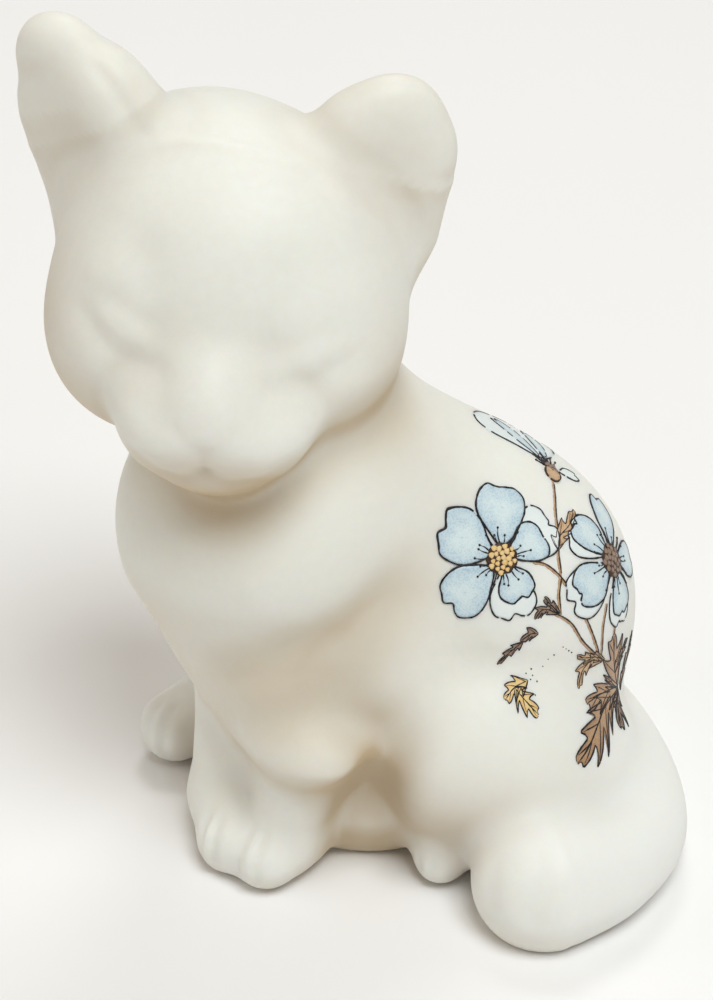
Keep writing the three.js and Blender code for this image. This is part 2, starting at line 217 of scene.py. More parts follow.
def sample(field, lo, hi, cell, coarse=4):
    """The field on a fine grid, worked out only near the skin; elsewhere the coarse value stands."""
    n = np.ceil((V(*hi) - V(*lo)) / (cell * coarse)).astype(int)
    axes = [lo[i] + np.arange(n[i] + 1) * cell * coarse for i in range(3)]
    g = np.stack(np.meshgrid(*axes, indexing="ij"), -1)
    big = field(g.reshape(-1, 3)).reshape(g.shape[:3])
    near = np.abs(big) < cell * coarse * 1.3
    active = np.zeros(tuple(n), bool)
    for a, b, c in CORNERS:
        active |= near[a : a + n[0], b : b + n[1], c : c + n[2]]
    low = big[:-1, :-1, :-1]
    fine = low.repeat(coarse, 0).repeat(coarse, 1).repeat(coarse, 2)
    mask = active.repeat(coarse, 0).repeat(coarse, 1).repeat(coarse, 2)
    where = np.argwhere(mask)
    fine[mask] = field(V(*lo) + where * cell)
    return fine


def skin(field, lo, hi, cell):
    """Surface nets: vertices and quads of the field's zero surface."""
    v = sample(field, lo, hi, cell)
    s = v < 0
    n = np.array(v.shape)
    x, y, z = n - 1
    count = sum(s[a : x + a, b : y + b, c : z + c].astype(np.int8) for a, b, c in CORNERS)
    cells = np.argwhere((count > 0) & (count < 8))
    val = np.stack([v[tuple((cells + c).T)] for c in CORNERS], 1)
    total = np.zeros((len(cells), 3))
    hits = np.zeros(len(cells))
    for a in range(8):
        for bit in (1, 2, 4):
            b = a | bit
            if a & bit:
                continue
            cross = (val[:, a] < 0) != (val[:, b] < 0)
            t = np.where(cross, val[:, a] / np.where(cross, val[:, a] - val[:, b], 1), 0)
            total += cross[:, None] * (CORNERS[a] + t[:, None] * (CORNERS[b] - CORNERS[a]))
            hits += cross
    points = V(*lo) + (cells + total / hits[:, None]) * cell
    index = np.full(tuple(n), -1, np.int64)
    index[tuple(cells.T)] = np.arange(len(cells))
    quads = []
    for axis in range(3):
        one, two = np.eye(3, dtype=int)[(axis + 1) % 3], np.eye(3, dtype=int)[(axis + 2) % 3]
        cut = [slice(1, -1)] * 3
        nxt = list(cut)
        nxt[axis] = slice(2, None)
        a, b = s[tuple(cut)], s[tuple(nxt)]
        at = np.argwhere(a != b) + 1
        inward = s[tuple(at.T)]
        q = np.stack([index[tuple((at - off).T)] for off in (one * 0, one, one + two, two)], 1)
        quads.append(np.where(inward[:, None], q, q[:, ::-1]))
    quads = np.concatenate(quads)
    return points, quads[(quads >= 0).all(1)]


def slope(field, p, h=0.08):
    g = np.stack([field(p + e) - field(p - e) for e in np.eye(3) * h], 1) / (2 * h)
    return g


def settle(field, p, rounds=2):
    """Moves points onto the field's zero surface."""
    for _ in range(rounds):
        g = slope(field, p)
        p = p - (field(p) / np.maximum((g * g).sum(1), 0.2))[:, None] * g
    return p


def near_line(p, line):
    """Distance from each point to a polyline, and how far along it that is, 0 to 1."""
    line = np.array(line, float)
    step = np.linalg.norm(np.diff(line, axis=0), axis=1)
    start = np.concatenate([[0], np.cumsum(step)])
    best = np.full(len(p), 1e9)
    along = np.zeros(len(p))
    for i, (a, b) in enumerate(zip(line, line[1:])):
        ab = b - a
        t = np.clip((p - a) @ ab / (ab @ ab), 0, 1)
        d = np.linalg.norm(p - a - t[:, None] * ab, axis=1)
        closer = d < best
        best[closer] = d[closer]
        along[closer] = ((start[i] + t * step[i]) / start[-1])[closer]
    return best, along


# Strokes of the modelling tool: points, half width, depth into the clay (minus raises a ridge).
# Face strokes are x, z in the head's own axes and are laid on the face from in front.
FACE_STROKES = [
    # lower lids
    ([(-13.4, 2.2), (-10.9, -0.4), (-8.0, -1.6), (-5.4, -1.4)], 1.2, 0.24),
    ([(13.6, -1.0), (10.9, -2.7), (8.5, -3.0), (6.2, -2.4)], 1.2, 0.3),
    # closed lids
    ([(-10.8, 2.4), (-8.7, 1.4), (-7.0, 0.9)], 1.5, -0.3),
    ([(11.0, 0.2), (8.6, -0.6), (7.0, -0.9)], 1.5, -0.3),
    # crease under the brow
    ([(-12.6, 4.2), (-9.6, 4.0), (-6.8, 2.8)], 1.2, 0.15),
    ([(13.0, 2.4), (9.8, 1.9), (7.0, 1.0)], 1.2, 0.15),
    # brow
    ([(-12.0, 6.2), (-10.0, 6.6), (-8.2, 5.6)], 2.8, -0.4),
    ([(13.2, 4.8), (10.6, 4.8), (8.4, 3.8)], 2.8, -0.4),
    # hollows beside the bridge
    ([(-7.2, 9.0), (-5.8, 3.0), (-5.0, -2.4), (-4.4, -4.6)], 2.4, 0.35),
    ([(6.4, 8.0), (5.6, 3.0), (5.4, -1.6), (5.0, -4.4)], 2.4, 0.35),
    # nostrils
    ([(-2.6, -6.2), (-1.4, -7.8), (0.2, -8.5), (1.8, -7.8), (3.0, -6.2)], 0.9, 0.16),
    # the split under the nose and the mouth
    ([(0.2, -8.6), (0.2, -10.4)], 1.0, 0.22),
    ([(0.2, -11.4), (-2.2, -12.6), (-4.8, -12.0), (-7.2, -10.2)], 0.9, 0.3),
    ([(0.2, -11.4), (2.8, -12.8), (5.8, -12.4), (8.6, -10.4)], 0.9, 0.3),
    # cheeks
    ([(-15.0, -1.5), (-11.5, -4.6), (-8.0, -6.4)], 2.4, -0.3),
    ([(15.2, -4.0), (12.0, -6.6), (9.6, -7.4)], 2.2, -0.35),
]
# Body strokes are x, y, z.
BODY_STROKES = [
    # edge down the right ear, and the mould line over the skull
    ([(-20, -17, 90), (-17.5, -17, 88), (-15.5, -17, 85.5), (-14, -16.5, 83.5)], 1.0, 0.28),
    (
        [(-14, -16.5, 83), (-11, -14.5, 83.5), (-7, -13, 83.5), (-3.5, -11.5, 83), (-0.5, -9.5, 82)],
        0.9,
        -0.3,
    ),
    # folds of the fur on the left shoulder
    ([(10, 0, 49), (11, -9, 48), (9, -17, 45), (4, -23, 39)], 3.2, -0.6),
    ([(14.5, -2, 42), (13, -9, 38), (11, -16, 35), (6, -21, 32), (-1, -23, 28)], 3.2, 0.9),
    ([(18, -5, 34), (14, -12, 31), (9.5, -18, 28), (3, -22, 25)], 2.8, -0.4),
    # the same on the right, seen only from that side
    ([(-20, -6, 44), (-19, -13, 40), (-14, -21, 35)], 3.0, -0.5),
    ([(-21, -5, 38), (-20, -12, 34), (-14, -20, 29)], 2.6, 0.45),
    # hollow between the foreleg and the haunch
    ([(10, -14, 26), (15, -18, 19), (14, -17, 12), (13, -16, 5)], 4.6, 1.1),
    # heel over the tail
    ([(28, -9, 15), (31, -4, 14.5), (33, 3, 13.5), (31, 9, 14)], 1.8, -0.35),
    # tail tip
    ([(35, -14.5, 13.2), (36.2, -17.8, 6)], 1.6, 0.4),
    ([(30, -16, 12.5), (31, -18.8, 6)], 1.3, 0.25),
    # toes of the front paws
    ([(5.8, -27.8, 1), (5.6, -27.4, 5), (5.2, -25, 8)], 0.7, 0.6),
    ([(2.9, -27.8, 1), (2.9, -27.4, 5), (3.2, -25, 8)], 0.7, 0.6),
    ([(-0.6, -27.8, 1), (-0.6, -27.2, 4.5), (-1.2, -25, 7.6)], 0.7, 0.6),
    ([(-3.0, -27.4, 1), (-3.0, -26.8, 4.5), (-3.2, -24.5, 7.6)], 0.7, 0.6),
    # toes of the hind feet
    ([(-20.2, -16.6, 1), (-20.2, -15.8, 4.5), (-19.6, -13, 8.8)], 0.8, 0.6),
    ([(-17.4, -16.6, 1), (-17.4, -15.8, 4.5), (-17.6, -13, 8.8)], 0.8, 0.6),
    ([(21.2, -15.4, 1), (21.2, -14.6, 3.5), (21, -12, 6.4)], 0.6, 0.45),
    ([(18.9, -15.4, 1), (18.9, -14.6, 3.5), (19, -12, 6.4)], 0.6, 0.45),
]


def face(p):
    """How deep each point of the head is pressed in, in millimetres."""
    q = (p - HEAD_AT) @ HEAD
    front = np.clip((-q[:, 1] - 1) / 4, 0, 1)
    flat = q * V(1, 0, 1)
    depth = np.zeros(len(p))
    for line, width, amount in FACE_STROKES:
        d, _ = near_line(flat, [(x, 0, z) for x, z in line])
        depth += amount * np.exp(-((d / width) ** 2)) * front
    return depth


def body_strokes(p):
    depth = np.zeros(len(p))
    for line, width, amount in BODY_STROKES:
        d, _ = near_line(p, line)
        depth += amount * np.exp(-((d / width) ** 2))
    return depth


def detail(p):
    n = slope(kitten, p)
    n /= np.linalg.norm(n, axis=1, keepdims=True) + 1e-9
    depth = body_strokes(p)
    head_zone = p[:, 2] > 40
    depth[head_zone] += face(p[head_zone])
    lift = np.clip(p[:, 2] / 1.5, 0, 1)
    return p - n * (depth * lift)[:, None]


# ---- scene ------------------------------------------------------------------------------------
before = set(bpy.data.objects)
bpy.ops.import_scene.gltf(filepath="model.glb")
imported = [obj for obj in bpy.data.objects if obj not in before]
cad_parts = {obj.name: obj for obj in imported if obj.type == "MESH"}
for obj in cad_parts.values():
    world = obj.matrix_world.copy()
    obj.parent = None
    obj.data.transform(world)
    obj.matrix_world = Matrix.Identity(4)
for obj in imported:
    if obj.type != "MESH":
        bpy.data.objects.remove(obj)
cad_lo, cad_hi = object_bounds()

points, quads = skin(kitten, (-40, -36, -3), (48, 34, 101), CELL)
points = detail(settle(kitten, points))
points[:, 2] = np.maximum(points[:, 2], 0)
low, high = points.min(0), points.max(0)
SCALE = (cad_hi.z - cad_lo.z) / (high[2] - low[2])
SHIFT = V((cad_lo.x + cad_hi.x) / 2, (cad_lo.y + cad_hi.y) / 2, cad_lo.z) - V(
    (low[0] + high[0]) / 2, (low[1] + high[1]) / 2, low[2]
) * SCALE


def placed(p):
    """The kitten's own millimetres as metres in the row frame."""
    return np.asarray(p, float) * SCALE + SHIFT


# ---- materials ----
class Nodes:
    """A short way to write a node tree."""

    def __init__(self, name):
        self.material = bpy.data.materials.new(name)
        self.material.use_nodes = True
        self.tree = self.material.node_tree
        self.shader = self.tree.nodes["Principled BSDF"]

    def add(self, kind, link=None, **values):
        node = self.tree.nodes.new(kind)
        for key, value in values.items():
            if hasattr(node, key):
                setattr(node, key, value)
            else:
                node.inputs[key.replace("_", " ")].default_value = value
        for key, source in (link or {}).items():
            self.tree.links.new(source, node.inputs[key])
        return node

    def place(self, scale):
        """Object position in metres times scale."""
        where = self.add("ShaderNodeTexCoord").outputs["Object"]
        node = self.add("ShaderNodeVectorMath", {0: where}, operation="SCALE")
        node.inputs["Scale"].default_value = scale
        return node.outputs[0]

    def noise(self, scale, detail=3.0, rough=0.5):
        node = self.add("ShaderNodeTexNoise", {"Vector": self.place(1.0)})
        node.inputs["Scale"].default_value = scale
        node.inputs["Detail"].default_value = detail
        node.inputs["Roughness"].default_value = rough
        return node.outputs[0]

    def voronoi(self, scale, feature="F1"):
        node = self.add("ShaderNodeTexVoronoi", {"Vector": self.place(1.0)}, feature=feature)
        node.inputs["Scale"].default_value = scale
        return node.outputs["Distance"]

    def value(self, name):
        return self.add("ShaderNodeAttribute", attribute_name=name).outputs["Fac"]

    def remap(self, source, a, b, c=0.0, d=1.0):
        node = self.add("ShaderNodeMapRange", {"Value": source}, clamp=True)
        for key, v in zip(("From Min", "From Max", "To Min", "To Max"), (a, b, c, d)):
            node.inputs[key].default_value = v
        return node.outputs[0]

    def math(self, operation, a, b):
        node = self.add("ShaderNodeMath", operation=operation)
        for i, x in enumerate((a, b)):
            if isinstance(x, (int, float)):
                node.inputs[i].default_value = x
            else:
                self.tree.links.new(x, node.inputs[i])
        return node.outputs[0]

    def mix(self, factor, a, b):
        node = self.add("ShaderNodeMix", data_type="RGBA")
        for key, x in (("Factor_Float", factor), ("A_Color", a), ("B_Color", b)):
            socket = next(i for i in node.inputs if i.identifier == key)
            if isinstance(x, (int, float)):
                socket.default_value = x
            elif isinstance(x, tuple):
                socket.default_value = (*x, 1)
            else:
                self.tree.links.new(x, socket)
        return next(o for o in node.outputs if o.identifier == "Result_Color")

    def set(self, **values):
        for key, x in values.items():
            socket = self.shader.inputs[key.replace("_", " ")]
            if isinstance(x, bpy.types.NodeSocket):
                self.tree.links.new(x, socket)
            else:
                colour = isinstance(x, tuple) and socket.type == "RGBA"
                socket.default_value = (*x, 1) if colour else x
        return self

    def bump(self, height, distance, strength=1.0, under=None):
        node = self.add("ShaderNodeBump", {"Height": height})
        node.inputs["Distance"].default_value = distance
        node.inputs["Strength"].default_value = strength
        if under:
            self.tree.links.new(under, node.inputs["Normal"])
        return node.outputs[0]


def ceramic():
    n = Nodes("ceramic_satin")
    cloud = n.remap(n.noise(28, 3), 0.3, 0.7)
    fine = n.remap(n.noise(900, 2), 0.3, 0.7)
    ivory = n.mix(cloud, (0.845, 0.85, 0.80), (0.875, 0.88, 0.845))
    ivory = n.mix(n.remap(fine, 0, 1, 0, 0.25), ivory, (0.80, 0.80, 0.735))
    # Painted shade: warm brown mixed into the glaze colour in hollows and under overhangs.
    ivory = n.mix(n.math("MULTIPLY", n.value("painted_shade"), 0.95), ivory, (0.53, 0.41, 0.26))
    # Paler, cooler colour on the paws and the tail.
    ivory = n.mix(n.math("MULTIPLY", n.value("pale_tint"), 0.75), ivory, (0.87, 0.885, 0.87))
    speck = n.remap(n.voronoi(260), 0.03, 0.05, 1, 0)
    sparse = n.remap(n.noise(90, 1), 0.66, 0.7)
    ivory = n.mix(n.math("MULTIPLY", n.math("MULTIPLY", speck, sparse), 0.45), ivory, (0.42, 0.33, 0.2))
    bare = n.value("bare")
    ivory = n.mix(bare, ivory, (0.74, 0.69, 0.58))
    skin_bump = n.bump(n.noise(420, 3), 0.00006, 0.5)
    grain = n.bump(n.noise(2600, 2), 0.00002, 0.5, skin_bump)
    rough = n.math("ADD", n.remap(n.noise(160, 3), 0.3, 0.7, 0.47, 0.56), n.math("MULTIPLY", bare, 0.3))
    n.set(Base_Color=ivory, Roughness=rough, Normal=grain)
    n.set(Subsurface_Weight=0.35, Subsurface_Scale=0.0022, Subsurface_Radius=(1.0, 0.7, 0.38))
    n.set(IOR=1.5, Specular_IOR_Level=0.32, Coat_Weight=0.05, Coat_Roughness=0.4)
    return n.material


def enamel(name, inner, outer, stipple, grain=4200):
    """A fired colour: two tones from the middle to the edge, broken up by the print's dots."""
    n = Nodes(name)
    patchy = n.remap(n.noise(700, 2), 0.3, 0.7, -0.22, 0.22)
    tone = n.remap(n.math("ADD", n.value("edge"), patchy), 0.25, 1.0)
    colour = n.mix(tone, inner, outer)
    dots = n.remap(n.voronoi(grain), 0.2, 0.55)
    colour = n.mix(n.math("MULTIPLY", dots, stipple), colour, (0.86, 0.88, 0.86))
    n.set(Base_Color=colour, Roughness=0.38, Normal=n.bump(n.noise(1500, 2), 0.00002, 0.5))
    n.set(IOR=1.5, Specular_IOR_Level=0.4, Coat_Weight=0.1, Coat_Roughness=0.3)
    return n.material


def ink(name, colour, worn):
    n = Nodes(name)
    wear = n.remap(n.noise(2600, 2), 0.52, 0.72, 0, 1)
    n.set(Base_Color=n.mix(n.math("MULTIPLY", wear, 0.6), colour, worn), Roughness=0.45)
    n.set(Normal=n.bump(n.noise(3000, 2), 0.00001, 0.5), Specular_IOR_Level=0.3)
    return n.material


def floor_material():
    n = Nodes("studio_floor")
    tone = n.remap(n.noise(6, 3), 0.3, 0.7)
    n.set(Base_Color=n.mix(tone, (0.93, 0.93, 0.945), (0.95, 0.95, 0.965)), Roughness=0.8)
    return n.material


INK = ink("enamel_ink", (0.012, 0.010, 0.014), (0.10, 0.08, 0.07))
SEPIA = ink("enamel_sepia", (0.045, 0.022, 0.012), (0.16, 0.09, 0.045))
BLUE = enamel("enamel_blue", (0.60, 0.76, 0.82), (0.34, 0.53, 0.68), 0.4)
WHITE = enamel("enamel_pale", (0.83, 0.88, 0.88), (0.75, 0.83, 0.85), 0.15)
GOLD = enamel("enamel_gold", (0.84, 0.58, 0.20), (0.72, 0.42, 0.11), 0.18)
TAN = enamel("enamel_tan", (0.56, 0.34, 0.15), (0.43, 0.23, 0.09), 0.2)
BROWN = enamel("enamel_brown", (0.43, 0.235, 0.10), (0.31, 0.155, 0.06), 0.12)
UMBER = enamel("enamel_umber", (0.27, 0.155, 0.09), (0.16, 0.085, 0.05), 0.1)
CERAMIC = ceramic()


# ---- meshes ----
def mesh_of(name, vertices, faces, materials, indices=None, values=None):
    data = bpy.data.meshes.new(name)
    data.from_pydata([tuple(v) for v in vertices], [], [tuple(int(i) for i in f) for f in faces])
    for m in materials:
        data.materials.append(m)
    data.polygons.foreach_set("use_smooth", [True] * len(data.polygons))
    if indices is not None:
        data.polygons.foreach_set("material_index", indices)
    for key, value in (values or {}).items():
        layer = data.attributes.new(key, "FLOAT", "POINT")
        layer.data.foreach_set("value", np.asarray(value, np.float32))
    data.update()
    thing = bpy.data.objects.new(name, data)
    bpy.context.scene.collection.objects.link(thing)
    return thing


# How far out the painted shade looks for clay close by, and how much each reach counts: the more clay near a
# point, the darker its painted shade.
SHADE_REACHES = [(2.5, 0.15), (5.0, 0.35), (10.0, 0.6)]
# Painted shade, warmer and darker, at given spots. On the head: place in its own axes, size, amount.
PAINTED_SHADE_HEAD = [
    ((-16, 0, 17), 9, 0.15),
    ((14, 2, 14), 9, 0.25),
    ((17, -5, -8), 8, 0.55),
    ((-18, -3, -4), 9, 0.65),
    ((1, -14, -17), 6, 0.5),
]
# Painted shade on the body: line, size, amount.
PAINTED_SHADE_BODY = [
    ([(15, -18, 12), (14, -18, 5)], 6.5, 0.4),
    ([(16, -14, 36), (12, -19, 29), (4, -23, 26)], 5.5, 0.5),
    ([(7, -22, 20), (13, -20, 18)], 4.5, 0.2),
    ([(20, -17, 8), (24, -15, 12), (29, -11, 14), (34, -4, 14)], 4.5, 0.4),
]
# Where the colour is paler and cooler, on the paws and the tail: place, size.
PALE = [
    ((1.5, -24, 3), 7),
    ((-18.5, -14, 5), 9),
    ((20, -13, 3), 3),
    ((33, -10, 6), 12),
    ((37, 2, 6), 12),
    ((28, 14, 6), 9),
]


def painted_shade_and_tints(p):
    """How much painted shade each point gets in hollows, under overhangs and at given spots, and where the
    glaze is paler or left off.
    """
    n = slope(kitten, p)
    n /= np.linalg.norm(n, axis=1, keepdims=True) + 1e-9
    painted_shade = np.zeros(len(p))
    # Painted shade: darker where clay lies close around a point, as in hollows and creases.
    for reach, weight in SHADE_REACHES:
        painted_shade += weight * np.clip((reach - kitten(p + n * reach)) / reach, 0, 1)
    # Less painted shade on faces turned up, and full painted shade on faces turned down.
    painted_shade = np.clip((painted_shade - 0.08) / 0.9, 0, 1) * (1 - 0.65 * np.clip(n[:, 2], 0, 1))
    painted_shade += np.clip(-n[:, 2], 0, 1)
    # Painted shade at the given spots on the head and along the lines on the body.
    for at, size, much in PAINTED_SHADE_HEAD:
        where = HEAD_AT + HEAD @ V(*at)
        painted_shade += much * np.exp(-(((p - where) / size) ** 2).sum(1))
    for line, size, much in PAINTED_SHADE_BODY:
        painted_shade += much * np.exp(-((near_line(p, line)[0] / size) ** 2))
    painted_shade = np.clip(painted_shade, 0, 1)
    pale_tint = sum(np.exp(-(((p - V(*c)) / r) ** 2).sum(1)) for c, r in PALE)
    bare = np.clip((0.25 - p[:, 2]) / 0.2, 0, 1) * (n[:, 2] < -0.3)
    return {"painted_shade": painted_shade, "pale_tint": np.clip(pale_tint, 0, 1), "bare": bare}


# The body mesh carries the painted shade, the paler tint and the bare foot as point attributes.
cat = mesh_of("cat_glazed_body", placed(points), quads, [CERAMIC], values=painted_shade_and_tints(points))
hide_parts("cat_casting")
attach(cat, "root")

# ---- transfers ----
# Each is drawn flat in millimetres round a bearing from a point inside the flank, then laid on the glaze.
FLANK = V(8, 6, 24)
# Rims and line sides reach this far under the glaze.
SKIRT = -0.03
skin_tree = BVHTree.FromObject(cat, bpy.context.evaluated_depsgraph_get())


def bearing(around, rise):
    a, b = math.radians(around), math.radians(rise)
    return V(math.cos(a) * math.cos(b), math.sin(a) * math.cos(b), math.sin(b))


class Transfer:
    """One transfer: sheets and lines drawn on the plane at a bearing, as one mesh with several enamels."""

    def __init__(self, name, around, rise, reach=21):
        self.name, self.reach = name, reach
        self.out = bearing(around, rise)
        self.across = np.cross((0, 0, 1), self.out)
        self.across /= np.linalg.norm(self.across)
        self.up = np.cross(self.out, self.across)
        self.vertices, self.faces, self.indices, self.edge, self.materials = [], [], [], [], []

    def at(self, around, rise):
        """A bearing as a point on the plane."""
        ray = bearing(around, rise)
        ray *= self.reach / (ray @ self.out)
        return V(ray @ self.across, ray @ self.up)

    def lay(self, flat, lift):
        """Points of the plane on the glaze, lifted by some millimetres."""
        start = placed(FLANK)
        found = []
        for (x, y), h in zip(flat, np.broadcast_to(lift, len(flat))):
            ray = self.out * self.reach + self.across * x + self.up * y
            ray /= np.linalg.norm(ray)
            place, normal, _, _ = skin_tree.ray_cast(Vector(start), Vector(ray))
            if normal.dot(Vector(ray)) < 0:
                normal = -normal
            found.append(place + normal * (h * SCALE))
        return found

    def sheet(self, rows, lift, material):
        """A grid of points from the middle row to the rim row, with a skirt down to the glaze."""
        rows = np.asarray(rows, float)
        count, width = rows.shape[:2]
        rows = np.concatenate([rows, rows[-1:]])
        heights = np.full((count + 1, width), lift)
        heights[-1] = SKIRT
        edge = [min(i / max(count - 1, 1), 1) for i in range(count + 1)]
        self.grid(rows, heights, edge, material, True)

    def line(self, path, half, lift, material, closed=False, dash=0.0, seed=0.0):
        """A ribbon along a path whose width wavers, broken here and there by dash."""
        path = np.asarray(path, float)
        ahead, behind = np.roll(path, -1, 0), np.roll(path, 1, 0)
        if not closed:
            ahead[-1], behind[0] = path[-1], path[0]
        along = ahead - behind
        along /= np.linalg.norm(along, axis=1, keepdims=True) + 1e-9
        side = np.stack([-along[:, 1], along[:, 0]], 1)
        step = np.linalg.norm(np.diff(path, axis=0, append=path[-1:]), axis=1)
        s = np.cumsum(step)
        waver = 1 + 0.28 * np.sin(s * 5.3 + seed) * np.sin(s * 2.1 + 2 * seed)
        if not closed:
            waver *= np.clip(np.minimum(s, s[-1] - s) / 0.5, 0.35, 1)
        width = half * waver
        show = np.sin(s * 3.7 + seed * 5) + 0.6 * np.sin(s * 8.9 + seed) > -1.6 + 1.2 * dash
        if closed:
            path, side, width, show = (np.concatenate([v, v[:1]]) for v in (path, side, width, show))
        offset = side * width[:, None]
        columns = [path - offset, path - offset, path + offset, path + offset]
        heights = np.array([SKIRT, lift, lift, SKIRT])
        start = 0
        for i in range(1, len(path) + 1):
            if i == len(path) or not show[i]:
                if i - start > 2:
                    rows = np.stack([c[start:i] for c in columns])
                    self.grid(rows, np.repeat(heights[:, None], i - start, 1), [1] * 4, material, False)
                start = i + 1

    def grid(self, rows, heights, edge, material, closed):
        base = len(self.vertices)
        count, width = rows.shape[:2]
        self.vertices += self.lay(rows.reshape(-1, 2), heights.reshape(-1))
        self.edge += [e for e in edge for _ in range(width)]
        if material not in self.materials:
            self.materials.append(material)
        slot = self.materials.index(material)
        for i in range(count - 1):
            for j in range(width if closed else width - 1):
                k = (j + 1) % width
                one = base + i * width
                two = one + width
                self.faces.append([one + j, one + k, two + k, two + j])
                self.indices.append(slot)

    def fill(self, outline, middle, lift, material, rings=7):
        """A filled outline as rings from its middle."""
        outline = np.asarray(outline, float)
        middle = V(*middle)
        rows = [middle + (outline - middle) * max(i / rings, 0.02) for i in range(rings + 1)]
        self.sheet(rows, lift, material)

    def dot(self, at, radius, lift, material, sides=9):
        turn = np.arange(sides) * 2 * math.pi / sides
        self.fill(V(*at) + radius * np.stack([np.cos(turn), np.sin(turn)], 1), at, lift, material, 2)

    def done(self, node):
        values = {"edge": self.edge}
        made = mesh_of(self.name, self.vertices, self.faces, self.materials, self.indices, values)
        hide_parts(node)
        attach(made, "root")
        return made


def loop(points, count=6):
    """A smooth closed line through the points."""
    p = np.asarray(points, float)
    out = []
    for i in range(len(p)):
        near = [p[(i + j) % len(p)] for j in (-1, 0, 1, 2)]
        out += [between(*near, t) for t in np.arange(count) / count]
    return np.array(out)


# Half a petal from the flower's middle to the tip: across, along.
PETAL = [
    (0.16, 0.2),
    (0.52, 0.34),
    (0.86, 0.52),
    (1.0, 0.7),
    (0.92, 0.87),
    (0.6, 0.98),
    (0.3, 1.0),
    (0.06, 0.955),
]


def petal(angle, length, half, wave=0.0, at=(0, 0)):
    """Outline of a petal and its middle."""
    right, left = [], []
    for x, y in PETAL:
        out, along = 1 + 0.05 * math.sin(7 * y + wave), 1 + 0.025 * math.sin(9 * x + wave)
        right.append(V(x * half * out, y * length * along))
        out, along = 1 + 0.05 * math.sin(8 * y + 2 + wave), 1 + 0.025 * math.sin(8 * x + 2 * wave)
        left.append(V(-x * half * out, y * length * along))
    a = math.radians(angle - 90)
    turned = np.array([[math.cos(a), math.sin(a)], [-math.sin(a), math.cos(a)]])
    outline = loop(right + left[::-1], 6) @ turned + V(*at)
    return outline, V(0, length * 0.68) @ turned + V(*at)


def smooth(points, count=6):
    return spline(points, count)


def flower(t, petals, eye, seed):
    """Petals: angle, length, half width, and for a folded one the same for the pale back behind it."""
    for i, (front, back) in enumerate(petals):
        if back:
            outline, middle = petal(*back, wave=i + seed)
            t.fill(outline, middle, 0.05 + 0.004 * i, WHITE)
            t.line(outline, 0.085, 0.075 + 0.004 * i, INK, True, 0.1, i + seed)
        outline, middle = petal(*front, wave=2 * i + seed)
        t.fill(outline, middle, 0.09 + 0.004 * i, BLUE)
        t.line(outline, 0.095, 0.115 + 0.004 * i, INK, True, 0.05, 3 * i + seed)
        angle = front[0]
        for turn in (-26, -9, 8, 25):
            a = math.radians(angle + turn + 5 * math.sin(9 * turn + i))
            far = eye * (1.75 + 0.3 * math.sin(5 * turn + i))
            ray = V(math.cos(a), math.sin(a))
            bend = V(-ray[1], ray[0]) * 0.12 * math.sin(turn + i)
            t.line(smooth([ray * eye * 0.95, ray * (eye + far) / 2 + bend, ray * far], 4), 0.075, 0.145, INK)
            t.dot(ray * far, 0.13, 0.15, INK, 7)


def eye_of(t, radius, stretch, cells, base, cell_material, seed):
    """The seeded middle: rounded cells on a dark ground."""
    turn = np.arange(40) * 2 * math.pi / 40
    ring = np.stack([np.cos(turn), np.sin(turn) * stretch], 1) * radius
    ring *= (1 + 0.05 * np.sin(9 * turn))[:, None]
    t.fill(ring, (0, 0), 0.15, base, 4)
    for i in range(cells):
        a, r = i * 2.39996 + seed, radius * 0.9 * math.sqrt((i + 0.4) / cells)
        size = radius * 0.86 / math.sqrt(cells) * (0.93 + 0.14 * math.sin(i * 4.1))
        b = np.arange(9) * 2 * math.pi / 9
        wobble = size * (1 + 0.16 * np.sin(3 * b + i))
        corners = np.stack([np.cos(b + a), np.sin(b + a)], 1) * wobble[:, None]
        at = V(r * math.cos(a), r * math.sin(a) * stretch)
        t.fill(at + corners, at, 0.175, cell_material, 2)


def build_flowers():
    left = [
        ((75, 7.9, 2.8), None),
        ((141, 7.3, 2.9), None),
        ((208, 8.2, 3.0), None),
        ((14, 5.5, 2.2), (22, 7.4, 2.9)),
        ((286, 5.0, 2.0), (273, 6.9, 2.6)),
    ]
    t = Transfer("left_flower_petals", -31, 44, 20)
    flower(t, left, 1.65, 1.0)
    t.done("decal_left_petals")
    t = Transfer("left_flower_centre", -31, 44, 20)
    eye_of(t, 1.7, 1.0, 22, SEPIA, GOLD, 0.4)
    t.done("decal_left_centre")
    right = [
        ((43, 8.6, 1.9), None),
        ((333, 6.8, 2.1), None),
        ((260, 6.4, 2.0), (256, 7.7, 2.3)),
        ((181, 7.2, 2.6), (184, 8.6, 3.1)),
        ((104, 6.8, 2.2), (112, 7.0, 2.7)),
    ]
    t = Transfer("right_flower_petals", 13, 27, 22)
    flower(t, right, 1.9, 2.3)
    t.done("decal_right_petals")
    t = Transfer("right_flower_centre", 13, 27, 22)
    eye_of(t, 1.9, 1.0, 22, SEPIA, UMBER, 1.1)
    t.done("decal_right_centre")


